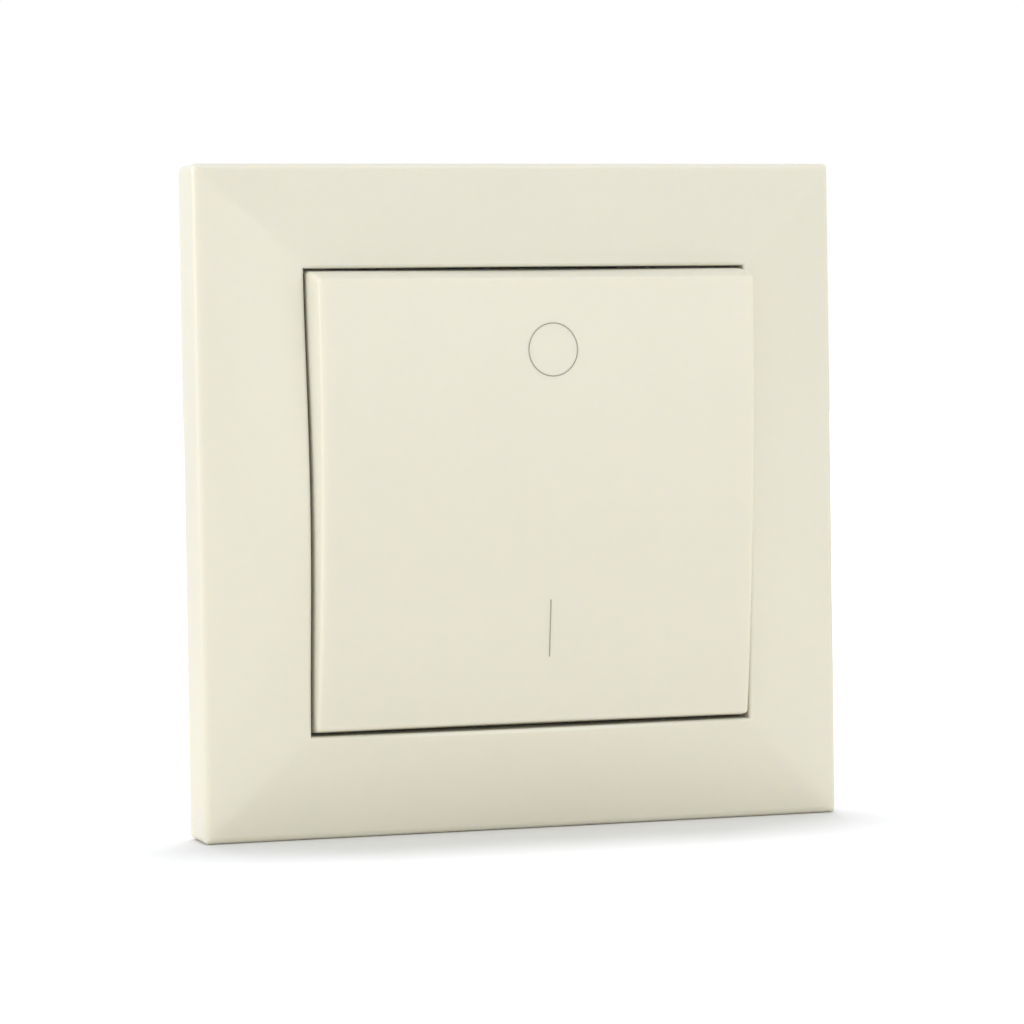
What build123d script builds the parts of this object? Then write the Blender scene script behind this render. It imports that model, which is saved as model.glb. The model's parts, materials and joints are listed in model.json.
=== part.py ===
from build123d import *
import math
import os

# A flush wall switch with one large rocker that makes and breaks two poles.
# Every piece is modelled lying on its back: x to the right, y up the wall and z out from the wall,
# with z = 0 on the wall. stand_up() then turns it to the part's own frame, where +Z is up,
# the front faces -Y and the wall is the plane Y = 0. Sizes are millimetres and degrees.

# Cover frame
frame_size = 80.5
frame_edge_height = 7.0
frame_corner_height = 10.05
frame_arch = 1.6
frame_bulge = 0.35
limb_overrun = 0.06
limb_across_steps = 8
limb_along_steps = 12
frame_wall = 2.0
frame_edge_round = 1.2
frame_corner_round = 0.8
opening_size = 55.4
opening_round = 0.35
skirt_wall = 1.5
skirt_lift = 0.4
frame_rib_wall = 1.2
frame_rib_offset = 9.0
frame_rib_foot = 4.4
bead_reach = 0.7
bead_width = 4.0
bead_height = 1.5
bead_foot = 3.4

# Rocker
rocker_side_gap = 0.7
rocker_end_gap = 1.05
rocker_knee_gap = 0.28
rocker_knee_depth = 4.5
rocker_rise = 2.9
rocker_crown = 1.5
rocker_skirt = 6.9
rocker_wall = 1.7
rocker_edge_round = 0.5
rocker_rib_wall = 1.4
rocker_rib_offset = 12.0
rocker_rib_gap = 3.4
cross_rib_offset = 9.0
tilt_each_way = 4.3
pivot_depth = 4.95

# Rocker carrier with its trunnions and plunger barrels
carrier_height = 24.0
carrier_floor = 2.2
carrier_rim = 1.6
carrier_drop = 1.2
carrier_web_gap = 0.6
trunnion_radius = 1.5
trunnion_clearance = 0.05
shoulder_radius = 2.3
shoulder_length = 0.4
shoulder_gap = 0.2
barrel_radius = 3.0
barrel_bore = 1.9
barrel_reach = 12.0
hook_width = 6.0
hook_wall = 1.4
hook_nose = 1.0
hook_gap = 0.2

# Plungers and their springs
pole_offset = 9.0
plunger_clearance = 0.05
plunger_gap = 0.3
plunger_tip_radius = 1.2
plunger_tip_length = 2.4
plunger_body = 5.6
plunger_pin_radius = 0.9
plunger_pin_length = 1.6
spring_wire = 0.5
spring_turns = 4
spring_flats = 8
spring_seat_gap = 0.1

# Mounting plate
plate_size = 71.0
plate_thickness = 1.2
plate_corner = 4.0
window_width = 33.0
window_height = 27.0
window_corner = 2.0
box_screw_spacing = 60.0
box_screw_hole = 3.6
box_screw_slot = 10.0
fold_height = 2.0
fold_length = 40.0
fold_inner_round = 0.5
lug_width = 7.0
lug_height = 5.2
lug_offset = 17.0
lug_gap = 0.3
lug_window_play = 0.5

# Insert base
base_width = 40.0
base_height = 44.0
base_depth = 22.0
base_chamfer = 5.0
chamber_width = 11.6
chamber_height = 23.0
chamber_depth = 14.0
clamp_width = 8.8
clamp_height = 6.9
clamp_depth = 18.0
clamp_partition = 1.2
wire_hole = 3.8
wire_offset = 15.4
wire_funnel = 0.5
groove_width = 6.0
groove_depth = 1.0
groove_offset = 11.0
groove_land = 4.0

# Switch cover, which carries the bearing horns
cover_lip = 1.4
cover_height = 41.0
cover_thickness = 2.0
cover_corner = 2.5
spigot_wall = 1.2
spigot_gap = 0.2
barrel_window_width = 9.2
barrel_window_height = 10.4
barrel_window_corner = 1.5
horn_side_gap = 3.9
horn_thickness = 2.6
horn_foot = 10.0
eye_wall = 1.7
stop_gap = 0.3
stop_pad_width = 5.0
stop_pad_length = 2.4
cover_screw_x = 16.0
cover_screw_y = 18.0
cover_screw_radius = 1.0
cover_screw_reach = 8.0
cover_screw_play = 0.1
cover_screw_head_radius = 2.0
cover_screw_head = 1.3

# Contacts
bridge_tilt = 8.0
bridge_depth = 8.3
bridge_length = 21.0
bridge_width = 6.0
bridge_sheet = 0.8
bridge_notch_depth = 0.4
bridge_notch_width = 2.4
contact_offset = 9.0
contact_radius = 1.5
contact_height = 0.6
contact_rivet_radius = 0.8
contact_gap = 0.2
knife_gap = 0.05
strip_sheet = 0.8
strip_width = 4.4
strip_play = 0.2
ear_inner = 3.1
ear_outer = 3.9
ear_rise = 1.7
stop_ledge_height = 4.0
stop_ledge_length = 2.5
stop_ledge_overlap = 0.6

# Wire clamps and release levers
leaf_sheet = 0.4
leaf_width = 5.0
leaf_bend = 1.4
leaf_top = 9.5
leaf_tip = 15.6
leaf_gap = 0.3
lever_width = 6.2
lever_height = 4.4
lever_play = 0.3
lever_front = 14.5
lever_stand_off = 1.0
lever_travel = 1.2
lever_notch = 1.0
wing_reach = 7.4
wing_height = 1.6
wing_sheet = 1.2
wing_gap = 0.4

# Heights and half sizes worked out from the values above
frame_half = frame_size / 2
opening_half = opening_size / 2
skirt_face = opening_half + skirt_wall
rocker_face_z = frame_corner_height + rocker_rise
rocker_foot_z = rocker_face_z - rocker_skirt
rocker_knee_z = rocker_face_z - rocker_knee_depth
rocker_half_width = opening_half - rocker_side_gap
rocker_half_height = opening_half - rocker_end_gap
pivot_z = rocker_face_z - pivot_depth
tilt = math.radians(tilt_each_way)
rib_foot_z = pivot_z + rocker_rib_gap - carrier_rim / 4
carrier_floor_z = pivot_z - carrier_drop
barrel_foot_z = pivot_z - barrel_reach
barrel_top_z = carrier_floor_z + carrier_floor / 4
horn_outer = rocker_half_width - rocker_wall - horn_side_gap
horn_inner = horn_outer - horn_thickness
carrier_width = 2 * (horn_inner - shoulder_gap - shoulder_length)
hook_end = carrier_height / 2 + hook_gap + hook_wall
hook_foot_z = carrier_floor_z - hook_gap - hook_nose
plate_half = plate_size / 2
lug_face = skirt_face + lug_gap
cover_top_z = plate_thickness + cover_thickness
cover_width = max(2 * horn_outer, base_width + 2 * cover_lip)
stop_pad_top_z = (
    pivot_z - (pivot_z - hook_foot_z) * math.cos(tilt) - hook_end * math.sin(tilt) - stop_gap
)
bridge_z = -bridge_depth
bridge_slope = math.radians(bridge_tilt)
bridge_top_z = bridge_z + bridge_sheet / math.cos(bridge_slope)
plunger_reach = (pivot_z - bridge_top_z - plunger_gap) / (
    math.cos(tilt) - math.sin(tilt) * math.tan(bridge_slope)
)
plunger_foot_z = pivot_z - plunger_reach
plunger_shoulder_z = plunger_foot_z + plunger_tip_length
plunger_head_z = plunger_shoulder_z + plunger_body
chamber_half = chamber_height / 2
clamp_near = chamber_half + clamp_partition
clamp_far = clamp_near + clamp_height
strip_leg_near = clamp_near + strip_sheet / 2 + strip_play
strip_leg_far = strip_leg_near + strip_sheet
closed_contact_z = (
    bridge_z - contact_offset * math.sin(bridge_slope) - contact_height * math.cos(bridge_slope)
)
fixed_tip_z = closed_contact_z - contact_gap
fixed_strip_z = fixed_tip_z - contact_height * 3 / 4
lever_middle = wire_offset + lever_height / 4


def block(x, y, z):
    """A box between two values on each axis."""
    size = [high - low for low, high in (x, y, z)]
    middle = [(high + low) / 2 for low, high in (x, y, z)]
    return Pos(*middle) * Box(*size)


def around(middle, width):
    """The two ends of a width laid evenly about its middle."""
    return middle - width / 2, middle + width / 2


def upright(radius, low, high, x=0.0, y=0.0):
    """A round bar along z."""
    bar = Cylinder(radius, high - low, align=(Align.CENTER, Align.CENTER, Align.MIN))
    return Pos(x, y, low) * bar


def left_and_right(shape):
    return shape + mirror(shape, about=Plane.YZ)


def four_ways(shape):
    return left_and_right(shape + mirror(shape, about=Plane.XZ))


def turned_round(shape):
    """The shape and its three copies, each a quarter turn on about z."""
    ring = shape
    for quarter in (1, 2, 3):
        ring = ring + Rot(Z=90 * quarter) * shape
    return ring


def front_height(along, across, edge, corner):
    """Height of the frame's pillowed front. along runs from -1 to 1 between two mitres, where
    the arch dies out, and across from 0 at the outer edge to 1 at the opening."""
    swell = across * (1 + frame_bulge * (1 - across))
    arch = frame_arch * (1 - along**2) ** 2
    return edge + (corner + arch - edge) * swell


def frame_limb(outer, inner, edge, corner, foot):
    """The right-hand side of the frame as a solid bar, mitred at both ends."""
    reach = 1 + limb_overrun
    rows = []
    for row in range(limb_across_steps + 1):
        across = -limb_overrun + (reach + limb_overrun) * row / limb_across_steps
        x = outer - across * (outer - inner)
        row_points = []
        for step in range(limb_along_steps + 1):
            along = reach * (2 * step / limb_along_steps - 1)
            row_points.append(Vector(x, x * along, front_height(along, across, edge, corner)))
        rows.append(row_points)
    front = Face.make_surface_from_array_of_points(rows, tol=0.0001, max_deg=5)
    depth = 4 * frame_corner_height
    bar = Solid.extrude(front, Vector(0, 0, -depth))
    mitred = Polyline((inner, -inner), (outer, -outer), (outer, outer), (inner, inner), close=True)
    return Pos(0, 0, foot) * extrude(make_face(mitred), depth) & bar


def cover_frame():
    limb = frame_limb(frame_half, opening_half, frame_edge_height, frame_corner_height, 0)
    top_edges = limb.edges().filter_by(lambda edge: edge.center().Z > frame_edge_height / 2)
    outer_edge = top_edges.sort_by(Axis.X)[-1]
    limb = fillet(outer_edge, frame_edge_round)
    front_edges = limb.edges().filter_by(lambda edge: edge.center().Z > frame_corner_height)
    limb = fillet(front_edges.sort_by(Axis.X)[0], opening_round)
    outline = RectangleRounded(frame_size, frame_size, frame_corner_round)
    shell = turned_round(limb) & extrude(outline, 2 * frame_corner_height)
    hollow = turned_round(
        frame_limb(
            frame_half - frame_wall,
            skirt_face,
            frame_edge_height - frame_wall,
            frame_corner_height - frame_wall,
            -frame_wall,
        )
    )
    for offset in (-frame_rib_offset, frame_rib_offset):
        rib = block(
            (opening_half, frame_half),
            around(offset, frame_rib_wall),
            (frame_rib_foot, 2 * frame_corner_height),
        )
        hollow = hollow - turned_round(rib)
    shell = shell - hollow
    skirt_cut = 2 * skirt_face + skirt_lift
    shell = shell - block(around(0, skirt_cut), around(0, skirt_cut), (0, plate_thickness + skirt_lift))
    return shell + four_ways(Pos(0, lug_offset, 0) * snap_bead())


def snap_bead():
    """A wedge on the outside of the skirt that snaps into a lug's window."""
    wedge = Polyline(
        (skirt_face - skirt_wall / 2, bead_foot),
        (skirt_face, bead_foot),
        (skirt_face + bead_reach, bead_foot + bead_height),
        (skirt_face - skirt_wall / 2, bead_foot + bead_height),
        close=True,
    )
    return extrude(Plane.XZ * make_face(wedge), bead_width / 2, both=True)


def bowed_sides(top_half, top_z, inset, foot_z):
    """The foot and both sides of a section, upright to the knee and bowed in above it."""
    knee_half = opening_half - rocker_knee_gap - inset
    lines = Line((-knee_half, foot_z), (knee_half, foot_z))
    for side in (-1, 1):
        knee = (side * knee_half, rocker_knee_z)
        top = (side * (top_half - inset), top_z)
        lines = lines + Line((side * knee_half, foot_z), knee) + TangentArc(knee, top, tangent=(0, 1))
    return lines


def rocker_block(inset, face_z, foot_z):
    """The rocker's outer form, or its hollow where it is inset by the walls."""
    end_half = rocker_half_height - inset
    crown = ThreePointArc((end_half, face_z), (0, face_z + rocker_crown), (-end_half, face_z))
    lengthwise = bowed_sides(rocker_half_height, face_z, inset, foot_z) + crown
    side_half = rocker_half_width - inset
    crown_z = rocker_face_z + rocker_crown
    above = crown_z + rocker_crown
    lid = Polyline(
        (side_half, crown_z), (side_half, above), (-side_half, above), (-side_half, crown_z)
    )
    across = bowed_sides(rocker_half_width, crown_z, inset, foot_z) + lid
    bar = extrude(Plane.YZ * make_face(lengthwise), frame_size / 2, both=True)
    return bar & extrude(Plane.XZ * make_face(across), frame_size / 2, both=True)


def rocker():
    body = rocker_block(0, rocker_face_z, rocker_foot_z)
    rim = body.edges().filter_by(lambda edge: edge.center().Z > rocker_face_z - rocker_edge_round)
    corners = body.edges().filter_by(
        lambda edge: abs(edge.center().X) > rocker_half_width - rocker_edge_round
        and abs(edge.center().Y) > rocker_half_height - rocker_edge_round
    )
    body = fillet(rim + corners, rocker_edge_round)
    hollow = rocker_block(rocker_wall, rocker_face_z - rocker_wall, rocker_foot_z - rocker_wall)
    above = 2 * rocker_face_z
    for side in (-rocker_rib_offset, rocker_rib_offset):
        hollow = hollow - block(
            around(side, rocker_rib_wall), around(0, opening_size), (rib_foot_z, above)
        )
    for end in (-cross_rib_offset, cross_rib_offset):
        hollow = hollow - block(
            around(0, opening_size), around(end, rocker_rib_wall), (rib_foot_z, above)
        )
    return body - hollow + four_ways(rocker_hook())


def rocker_hook():
    """A tongue that hangs from the rocker and grips the carrier's edge from below."""
    near = carrier_height / 2 + hook_gap
    grip_z = carrier_floor_z - hook_gap
    profile = Polyline(
        (near, rocker_face_z),
        (hook_end, rocker_face_z),
        (hook_end, hook_foot_z),
        (near, hook_foot_z),
        (near - hook_nose, grip_z),
        (near, grip_z),
        close=True,
    )
    hook = extrude(Plane.YZ * make_face(profile), hook_width / 2, both=True)
    return Pos(rocker_rib_offset, 0, 0) * hook


def rocker_carrier():
    """A tray under the rocker, with a trunnion at each end and two plunger barrels below."""
    rim_inner_width = carrier_width - 2 * carrier_rim
    rim_inner_height = carrier_height - 2 * carrier_rim
    tray = block(
        around(0, carrier_width), around(0, carrier_height), (carrier_floor_z, rib_foot_z)
    )
    tray = tray - block(
        around(0, rim_inner_width),
        around(0, rim_inner_height),
        (carrier_floor_z + carrier_floor, rib_foot_z),
    )
    axle = Plane.YZ * Pos(0, pivot_z)
    shoulder = extrude(axle * Circle(shoulder_radius), carrier_width / 2 + shoulder_length)
    tray = tray + left_and_right(shoulder - block((0, rim_inner_width / 2), *wide_open()))
    trunnion_end = horn_outer + shoulder_gap
    trunnion = extrude(axle * Circle(trunnion_radius), trunnion_end)
    tray = tray + left_and_right(trunnion - block((0, rim_inner_width / 2), *wide_open()))
    barrel = upright(barrel_radius, barrel_foot_z, carrier_floor_z + carrier_floor / 2, pole_offset)
    bore = upright(barrel_bore, barrel_foot_z, barrel_top_z, pole_offset)
    web = block(
        (0, pole_offset),
        around(0, carrier_rim),
        (cover_top_z + carrier_web_gap, carrier_floor_z + carrier_floor / 2),
    )
    return tray + left_and_right(barrel + web) - left_and_right(bore)


def wide_open():
    """Bounds for y and z that take in the whole switch."""
    return around(0, frame_size), around(0, frame_size)


def plunger():
    """A sprung pin whose round tip rides along the contact bridge."""
    shank = barrel_bore - plunger_clearance
    tip_z = plunger_foot_z + plunger_tip_radius
    outline = Polyline(
        (0, plunger_foot_z),
        (0, plunger_head_z + plunger_pin_length),
        (plunger_pin_radius, plunger_head_z + plunger_pin_length),
        (plunger_pin_radius, plunger_head_z),
        (shank, plunger_head_z),
        (shank, plunger_shoulder_z),
        (plunger_tip_radius, tip_z),
    )
    diagonal = plunger_tip_radius * math.sin(math.radians(45))
    tip = ThreePointArc((plunger_tip_radius, tip_z), (diagonal, tip_z - diagonal), (0, plunger_foot_z))
    return Pos(pole_offset, 0, 0) * revolve(Plane.XZ * make_face(outline + tip), Axis.Z)


def plunger_spring():
    """A round coil whose wire is drawn with eight flats."""
    wire = spring_wire / 2
    low = plunger_head_z + wire + spring_seat_gap
    high = barrel_top_z - wire - spring_seat_gap
    coil_radius = plunger_pin_radius + wire + spring_seat_gap
    helix = Pos(0, 0, low) * Helix((high - low) / spring_turns, high - low, coil_radius)
    start = Plane(helix @ 0, z_dir=helix % 0)
    section = RegularPolygon(wire, spring_flats)
    return Pos(pole_offset, 0, 0) * sweep(start * section, path=helix, is_frenet=True)


def fold(length, height):
    """An upturned flange: sheet in the plate's plane up to x = 0, then the wall standing on it."""
    flat = block((-3 * plate_thickness, 0), around(0, length), (0, plate_thickness))
    wall = block((-plate_thickness, 0), around(0, length), (0, plate_thickness + height))
    bent = flat + wall
    outer = bent.edges().filter_by(Axis.Y).filter_by(
        lambda edge: abs(edge.center().X) + abs(edge.center().Z) < fold_inner_round / 2
    )
    bent = fillet(outer, plate_thickness)
    inner = bent.edges().filter_by(Axis.Y).filter_by(
        lambda edge: abs(edge.center().X + plate_thickness) < fold_inner_round / 2
        and abs(edge.center().Z - plate_thickness) < fold_inner_round / 2
    )
    return fillet(inner, fold_inner_round)


def mounting_plate():
    """A pierced and folded steel sheet that lies on the wall and carries everything."""
    sheet = extrude(RectangleRounded(plate_size, plate_size, plate_corner), plate_thickness)
    window = RectangleRounded(window_width, window_height, window_corner)
    sheet = sheet - extrude(window, plate_thickness)
    half_spacing = box_screw_spacing / 2
    sheet = sheet - left_and_right(
        upright(box_screw_hole / 2, 0, plate_thickness, half_spacing)
    )
    slot = Pos(0, half_spacing, 0) * extrude(
        SlotOverall(box_screw_slot, box_screw_hole), plate_thickness
    )
    sheet = sheet - slot - mirror(slot, about=Plane.XZ)
    screw_hole = upright(
        cover_screw_radius + cover_screw_play, 0, plate_thickness, cover_screw_x, cover_screw_y
    )
    sheet = sheet - four_ways(screw_hole)
    edge_cut = block(
        (plate_half - 2 * plate_thickness, plate_half), around(0, fold_length), (0, plate_thickness)
    )
    edge_fold = Pos(plate_half, 0, 0) * fold(fold_length, fold_height)
    sheet = sheet - turned_round(edge_cut) + turned_round(edge_fold)
    pierced = block(
        (lug_face - lug_height, lug_face + plate_thickness * 2),
        around(lug_offset, lug_width),
        (0, plate_thickness),
    )
    lug = Pos(lug_face, lug_offset, 0) * mirror(fold(lug_width, lug_height), about=Plane.YZ)
    bead_hole = block(
        (lug_face - lug_gap, lug_face + 2 * plate_thickness),
        around(lug_offset, bead_width + 2 * lug_window_play),
        (bead_foot - lug_window_play, bead_foot + bead_height + lug_window_play),
    )
    return sheet - four_ways(pierced) + four_ways(lug - bead_hole)


def insert_base():
    """The moulded block behind the plate, with its chambers open to the front."""
    outline = chamfer(Rectangle(base_width, base_height).vertices(), base_chamfer)
    body = Pos(0, 0, -base_depth) * extrude(outline, base_depth)
    chamber = block(
        around(pole_offset, chamber_width), around(0, chamber_height), (-chamber_depth, 0)
    )
    clamp_room = block(
        around(pole_offset, clamp_width), (clamp_near, clamp_far), (-clamp_depth, 0)
    )
    strip_slot = around(pole_offset, strip_width + 2 * strip_play)
    upper_slot = block(strip_slot, (chamber_half, clamp_near), (fixed_strip_z - strip_sheet, 0))
    lower_slot = block(strip_slot, (-clamp_near, -chamber_half), (-chamber_depth, 0))
    screw_hole = upright(
        cover_screw_radius + plunger_clearance,
        -cover_screw_reach - cover_screw_play,
        0,
        cover_screw_x,
        cover_screw_y,
    )
    body = body - left_and_right(chamber + upper_slot + lower_slot)
    body = body - four_ways(clamp_room + wire_way() + screw_hole) - lever_ways()
    side_groove = block(
        (base_width / 2 - groove_depth, base_width / 2),
        around(groove_offset, groove_width),
        (-base_depth, -groove_land),
    )
    body = body - four_ways(side_groove)
    return body + left_and_right(contact_ledge() + stop_ledges())


def wire_way():
    """One wire's way in from the back, with a funnelled mouth."""
    way = upright(wire_hole / 2, -base_depth, -clamp_depth, pole_offset, wire_offset)
    mouth = Cone(
        wire_hole / 2 + wire_funnel,
        wire_hole / 2,
        wire_funnel,
        align=(Align.CENTER, Align.CENTER, Align.MIN),
    )
    return way + Pos(pole_offset, wire_offset, -base_depth) * mouth


def lever_ways():
    """The two pockets for the release levers, and the slots for their wings."""
    pocket = block(
        around(0, lever_width + 2 * lever_play),
        around(lever_middle, lever_height + 2 * lever_play),
        (-base_depth, -lever_front + lever_travel + lever_play),
    )
    slot = block(
        around(0, 2 * pole_offset),
        around(wire_offset, wing_height + 2 * lever_play),
        (-clamp_depth, -clamp_depth + wing_gap + wing_sheet + lever_travel + lever_play),
    )
    ways = pocket + slot
    return ways + mirror(ways, about=Plane.XZ)


def contact_ledge():
    """The step under the fixed contact's strip."""
    return block(
        around(pole_offset, chamber_width),
        (chamber_half - contact_offset / 2, chamber_half),
        (-chamber_depth, fixed_strip_z - strip_sheet),
    )


def stop_ledges():
    """Two steps that stop the bridge's far end when the contact opens."""
    overlap = bridge_width / 2 - stop_ledge_overlap
    ledges = None
    for side in (-1, 1):
        near = pole_offset + side * overlap
        far = pole_offset + side * chamber_width / 2
        ledge = block(
            (min(near, far), max(near, far)),
            (-chamber_half, -chamber_half + stop_ledge_length),
            (-chamber_depth, -chamber_depth + stop_ledge_height),
        )
        ledges = ledge if ledges is None else ledges + ledge
    return ledges


def switch_cover():
    """The moulded lid in front of the plate, with the two bearing horns for the trunnions."""
    lid = Pos(0, 0, plate_thickness) * extrude(
        RectangleRounded(cover_width, cover_height, cover_corner), cover_thickness
    )
    outer = RectangleRounded(
        window_width - 2 * spigot_gap, window_height - 2 * spigot_gap, window_corner
    )
    inner = RectangleRounded(
        window_width - 2 * spigot_gap - 2 * spigot_wall,
        window_height - 2 * spigot_gap - 2 * spigot_wall,
        window_corner - spigot_wall / 2,
    )
    lid = lid + extrude(outer - inner, plate_thickness)
    barrel_window = extrude(
        RectangleRounded(barrel_window_width, barrel_window_height, barrel_window_corner),
        cover_top_z,
    )
    lid = lid - left_and_right(Pos(pole_offset, 0, 0) * barrel_window)
    screw_hole = upright(
        cover_screw_radius + cover_screw_play, 0, cover_top_z, cover_screw_x, cover_screw_y
    )
    stop_pad = block(
        around(rocker_rib_offset, stop_pad_width),
        (hook_end - stop_pad_length, hook_end),
        (cover_top_z, stop_pad_top_z),
    )
    lid = lid - four_ways(screw_hole) + four_ways(stop_pad)
    return lid + left_and_right(bearing_horn())


def bearing_horn():
    """A tapered post with a round eye for one trunnion."""
    eye_radius = trunnion_radius + trunnion_clearance + eye_wall
    post = Polyline(
        (-horn_foot / 2, cover_top_z),
        (horn_foot / 2, cover_top_z),
        (eye_radius, pivot_z),
        (-eye_radius, pivot_z),
        close=True,
    )
    eye = Pos(0, pivot_z) * Circle(eye_radius)
    hole = Pos(0, pivot_z) * Circle(trunnion_radius + trunnion_clearance)
    horn = extrude(Plane.YZ * (make_face(post) + eye - hole), horn_thickness)
    return Pos(horn_inner, 0, 0) * horn


def cover_screws():
    """Four screws that clamp the plate between the cover and the base."""
    shank = upright(
        cover_screw_radius, -cover_screw_reach, cover_top_z, cover_screw_x, cover_screw_y
    )
    head = upright(
        cover_screw_head_radius,
        cover_top_z,
        cover_top_z + cover_screw_head,
        cover_screw_x,
        cover_screw_y,
    )
    crown = head.edges().sort_by(Axis.Z)[-1]
    return four_ways(shank + chamfer(crown, cover_screw_head / 3))


def contact_bridge():
    """The see-saw blade of one pole, level, resting on its knife edge."""
    blade = Rectangle(bridge_width, bridge_length)
    blade = fillet(blade.vertices(), bridge_sheet)
    for side in (-1, 1):
        notch = Rectangle(2 * bridge_notch_depth, bridge_notch_width)
        blade = blade - Pos(side * bridge_width / 2, 0) * notch
    blade = blade - Pos(0, contact_offset) * Circle(contact_rivet_radius + plunger_clearance)
    return Pos(pole_offset, 0, bridge_z) * extrude(blade, bridge_sheet)


def moving_contact():
    """The silver contact riveted under the bridge's closing end."""
    face = upright(contact_radius, -contact_height, 0)
    rim = face.edges().sort_by(Axis.Z)[0]
    rivet = chamfer(rim, contact_height / 3) + upright(contact_rivet_radius, 0, bridge_sheet)
    return Pos(pole_offset, contact_offset, bridge_z) * rivet


def common_terminal():
    """The strip that carries the bridge on a knife edge and leads to its wire clamp."""
    floor_z = -chamber_depth
    edge_z = bridge_z - knife_gap
    half_sheet = strip_sheet / 2
    knife = Polyline(
        (-half_sheet, floor_z),
        (half_sheet, floor_z),
        (half_sheet, edge_z - strip_sheet),
        (0, edge_z),
        (-half_sheet, edge_z - strip_sheet),
        close=True,
    )
    support = extrude(Plane.YZ * make_face(knife), ear_outer, both=True)
    ear = block((ear_inner, ear_outer), around(0, strip_sheet), (edge_z - ear_rise, edge_z + ear_rise))
    run = block(
        around(0, strip_width), (-strip_leg_far, half_sheet), (floor_z, floor_z + strip_sheet)
    )
    leg = block(
        around(0, strip_width),
        (-strip_leg_far, -strip_leg_near),
        (-clamp_depth + strip_play, floor_z + strip_sheet),
    )
    return Pos(pole_offset, 0, 0) * (support + left_and_right(ear) + run + leg)


def fixed_contact():
    """The strip that the moving contact closes on, with its leg into the upper wire clamp."""
    run = block(
        around(0, strip_width),
        (chamber_half - contact_offset / 2, strip_leg_far),
        (fixed_strip_z - strip_sheet, fixed_strip_z),
    )
    leg = block(
        around(0, strip_width),
        (strip_leg_near, strip_leg_far),
        (-clamp_depth + strip_play, fixed_strip_z),
    )
    strip = Pos(pole_offset, 0, 0) * (run + leg)
    bend = strip.edges().filter_by(Axis.X).sort_by(lambda edge: edge.center().Y + edge.center().Z)[-1]
    return fillet(bend, strip_sheet / 2)


def fixed_contact_tip():
    closed_y = contact_offset * math.cos(bridge_slope)
    tip = upright(contact_radius, fixed_strip_z, fixed_tip_z)
    rim = tip.edges().sort_by(Axis.Z)[-1]
    return Pos(pole_offset, closed_y, 0) * chamfer(rim, (fixed_tip_z - fixed_strip_z) / 3)


def terminal_spring():
    """A bent leaf that presses the wire against the strip's leg, in the upper clamp room."""
    back = clamp_far - leaf_sheet / 2 - strip_play / 2
    tip = strip_leg_far + leaf_sheet / 2 + leaf_gap
    top_z = -leaf_top
    line = FilletPolyline(
        (back, -clamp_depth + strip_play),
        (back, top_z),
        ((back + tip) / 2, top_z),
        (tip, -leaf_tip),
        radius=leaf_bend,
    )
    path = Plane.YZ * line
    section = Plane(path @ 0, x_dir=(1, 0, 0), z_dir=path % 0) * Rectangle(leaf_width, leaf_sheet)
    return Pos(pole_offset, 0, 0) * sweep(section, path=path)


def release_lever():
    """The push button at the back that frees the two wires of one side."""
    body = block(
        around(0, lever_width),
        around(lever_middle, lever_height),
        (-base_depth - lever_stand_off, -lever_front),
    )
    notch = block(
        around(0, lever_notch),
        around(lever_middle, lever_height),
        (-base_depth - lever_stand_off, -base_depth - lever_stand_off + lever_notch / 2),
    )
    wing_low = -clamp_depth + wing_gap
    wing = block(
        around(0, 2 * wing_reach), around(wire_offset, wing_height), (wing_low, wing_low + wing_sheet)
    )
    return body - notch + wing


def tipped(shape):
    """Turns the rocker and what rides with it to the pose of the photograph, top out."""
    turn = Pos(0, 0, pivot_z) * Rot(X=tilt_each_way) * Pos(0, 0, -pivot_z)
    return turn * shape


def closed(shape):
    """Turns a bridge about its knife edge until the contact at its upper end is closed."""
    turn = Pos(0, 0, bridge_z) * Rot(X=-bridge_tilt) * Pos(0, 0, -bridge_z)
    return turn * shape


def stand_up(shape):
    return Rot(X=90) * shape


def poles(name, shape):
    """A pair of nodes, one for each pole."""
    return {name + "_right": shape, name + "_left": mirror(shape, about=Plane.YZ)}


def all_pieces():
    pieces = {
        "cover_frame": cover_frame(),
        "rocker": tipped(rocker()),
        "rocker_carrier": tipped(rocker_carrier()),
        "mounting_plate": mounting_plate(),
        "insert_base": insert_base(),
        "switch_cover": switch_cover(),
        "cover_screws": cover_screws(),
        "release_lever_top": release_lever(),
        "release_lever_bottom": mirror(release_lever(), about=Plane.XZ),
    }
    pieces.update(poles("plunger", tipped(plunger())))
    pieces.update(poles("plunger_spring", tipped(plunger_spring())))
    pieces.update(poles("contact_bridge", closed(contact_bridge())))
    pieces.update(poles("moving_contact", closed(moving_contact())))
    pieces.update(poles("common_terminal", common_terminal()))
    pieces.update(poles("fixed_contact", fixed_contact()))
    pieces.update(poles("fixed_contact_tip", fixed_contact_tip()))
    pieces.update(poles("terminal_spring_top", terminal_spring()))
    pieces.update(poles("terminal_spring_bottom", mirror(terminal_spring(), about=Plane.XZ)))
    return pieces


os.makedirs("parts", exist_ok=True)
for node, piece in all_pieces().items():
    export_step(stand_up(piece), os.path.join("parts", node + ".step"))
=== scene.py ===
import json
import math

import bmesh
import bpy
from bpy.props import FloatProperty, FloatVectorProperty, PointerProperty
from mathutils import Matrix, Vector


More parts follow.
